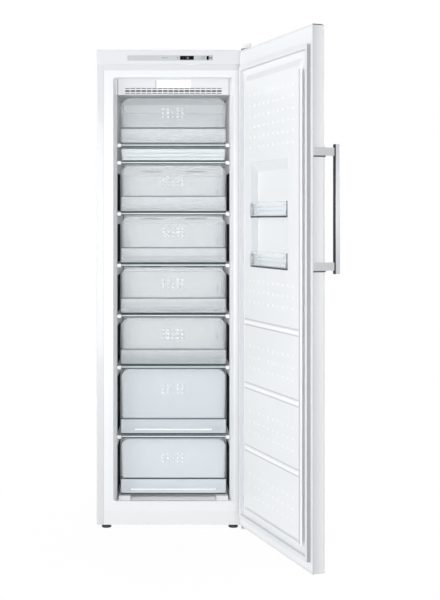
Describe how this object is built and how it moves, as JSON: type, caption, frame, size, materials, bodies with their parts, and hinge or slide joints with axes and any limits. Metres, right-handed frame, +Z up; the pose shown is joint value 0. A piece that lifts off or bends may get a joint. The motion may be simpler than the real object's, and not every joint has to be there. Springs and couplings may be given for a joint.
{
  "type": "upright freezer",
  "caption": "Tall white freezer cabinet with a full-height hinged door and bar handle, clear drawers and a tray on glass shelves, a vented fan cover, front feet and rear rollers.",
  "frame": {"origin": "on the floor, under the middle of the cabinet's front plane", "axes": "+X to the right seen from the front, +Y from the front to the back, +Z up; the door is stored open at 110 degrees"},
  "size_m": [0.853, 1.1299, 1.867],
  "materials": {
    "white_lacquer": "satin",
    "liner_white": "satin",
    "foam": "matte",
    "grey_sheet": "satin",
    "moulded_white": "satin",
    "strip_grey": "satin",
    "bracket_grey": "satin",
    "copper": "drawn",
    "dark_plastic": "gloss",
    "smoked_window": "gloss",
    "circuit_board": "matte",
    "white_plastic": "gloss",
    "clear_plastic": "gloss",
    "shelf_glass": "gloss",
    "aluminium": "brushed",
    "zinc_steel": "zinc plated",
    "black_steel": "satin",
    "seal_grey": "matte",
    "black_rubber": "matte",
    "nylon": "matte"
  },
  "bodies": {
    "cabinet": {"outer_casing": "white_lacquer", "rear_panel": "grey_sheet", "base_pan": "white_lacquer", "insulation_foam": "foam", "inner_liner": "liner_white", "control_panel": "moulded_white", "control_strip": "strip_grey", "display_windows": "smoked_window", "control_board": "circuit_board", "fan_cover": "white_plastic", "lamp_lens": "white_plastic", "evaporator": "aluminium", "fan_motor": "dark_plastic", "rear_duct_panel": "white_plastic", "shelf_trims": "white_plastic", "floor_rails": "white_plastic", "condenser_tube": "black_steel", "condenser_wires": "black_steel", "compressor": "black_steel", "compressor_mounts": "black_rubber", "drip_tray": "dark_plastic", "upper_hinge": "zinc_steel", "hinge_cover": "moulded_white", "lower_hinge": "zinc_steel", "hinge_screws": "zinc_steel", "cable_gland": "dark_plastic", "refrigerant_pipes": "copper", "glass_shelf_1": "shelf_glass", "glass_shelf_2": "shelf_glass", "glass_shelf_3": "shelf_glass", "glass_shelf_4": "shelf_glass", "glass_shelf_5": "shelf_glass", "glass_shelf_6": "shelf_glass", "glass_shelf_7": "shelf_glass"},
    "door": {"door_outer_skin": "white_lacquer", "door_inner_panel": "liner_white", "door_foam": "foam", "door_gasket": "seal_grey", "door_end_caps": "moulded_white", "door_hinge_bushes": "nylon", "handle_bar": "aluminium", "handle_brackets": "bracket_grey", "handle_screws": "zinc_steel"},
    "upper_bin": {"upper_door_bin": "clear_plastic"},
    "lower_bin": {"lower_door_bin": "clear_plastic"},
    "fan": {"fan_rotor": "dark_plastic"},
    "drawer_1": {"drawer_1": "clear_plastic"},
    "tray_2": {"tray_2": "clear_plastic"},
    "drawer_3": {"drawer_3": "clear_plastic"},
    "drawer_4": {"drawer_4": "clear_plastic"},
    "drawer_5": {"drawer_5": "clear_plastic"},
    "drawer_6": {"drawer_6": "clear_plastic"},
    "drawer_7": {"drawer_7": "clear_plastic"},
    "drawer_8": {"drawer_8": "clear_plastic"},
    "button_left": {"button_left": "strip_grey"},
    "button_right": {"button_right": "strip_grey"},
    "foot_left": {"foot_left": "dark_plastic"},
    "foot_right": {"foot_right": "dark_plastic"},
    "roller_left": {"roller_left": "nylon"},
    "roller_right": {"roller_right": "nylon"}
  },
  "joints": [
    {"name": "door_hinge", "type": "hinge", "parent": "cabinet", "child": "door", "pos_m": [0.2795, -0.032, 0.93], "axis": [0, 0, 1], "range_deg": [-110, 5]},
    {"name": "upper_bin_lift", "type": "slide", "parent": "door", "child": "upper_bin", "axis": [0, 0, 1], "range_m": [0, 0.02]},
    {"name": "lower_bin_lift", "type": "slide", "parent": "door", "child": "lower_bin", "axis": [0, 0, 1], "range_m": [0, 0.02]},
    {"name": "drawer_1_slide", "type": "slide", "parent": "cabinet", "child": "drawer_1", "axis": [0, -1, 0], "range_m": [0, 0.24]},
    {"name": "tray_2_slide", "type": "slide", "parent": "cabinet", "child": "tray_2", "axis": [0, -1, 0], "range_m": [0, 0.24]},
    {"name": "drawer_3_slide", "type": "slide", "parent": "cabinet", "child": "drawer_3", "axis": [0, -1, 0], "range_m": [0, 0.24]},
    {"name": "drawer_4_slide", "type": "slide", "parent": "cabinet", "child": "drawer_4", "axis": [0, -1, 0], "range_m": [0, 0.24]},
    {"name": "drawer_5_slide", "type": "slide", "parent": "cabinet", "child": "drawer_5", "axis": [0, -1, 0], "range_m": [0, 0.24]},
    {"name": "drawer_6_slide", "type": "slide", "parent": "cabinet", "child": "drawer_6", "axis": [0, -1, 0], "range_m": [0, 0.24]},
    {"name": "drawer_7_slide", "type": "slide", "parent": "cabinet", "child": "drawer_7", "axis": [0, -1, 0], "range_m": [0, 0.24]},
    {"name": "drawer_8_slide", "type": "slide", "parent": "cabinet", "child": "drawer_8", "axis": [0, -1, 0], "range_m": [0, 0.2]},
    {"name": "button_left_press", "type": "slide", "parent": "cabinet", "child": "button_left", "axis": [0, 1, 0], "range_m": [0, 0.0008], "stiffness_N_per_m": 400, "springref_m": -0.001},
    {"name": "button_right_press", "type": "slide", "parent": "cabinet", "child": "button_right", "axis": [0, 1, 0], "range_m": [0, 0.0008], "stiffness_N_per_m": 400, "springref_m": -0.001},
    {"name": "fan_spin", "type": "hinge", "parent": "cabinet", "child": "fan", "pos_m": [0, 0.375, 1.721], "axis": [0, 1, 0], "continuous": true},
    {"name": "foot_left_turn", "type": "hinge", "parent": "cabinet", "child": "foot_left", "pos_m": [-0.26, 0.024, 0.014], "axis": [0, 0, 1], "continuous": true},
    {"name": "foot_right_turn", "type": "hinge", "parent": "cabinet", "child": "foot_right", "pos_m": [0.2327, 0.024, 0.014], "axis": [0, 0, 1], "continuous": true},
    {"name": "roller_left_roll", "type": "hinge", "parent": "cabinet", "child": "roller_left", "pos_m": [-0.255, 0.492, 0.012], "axis": [1, 0, 0], "continuous": true},
    {"name": "roller_right_roll", "type": "hinge", "parent": "cabinet", "child": "roller_right", "pos_m": [0.255, 0.492, 0.012], "axis": [1, 0, 0], "continuous": true}
  ]
}
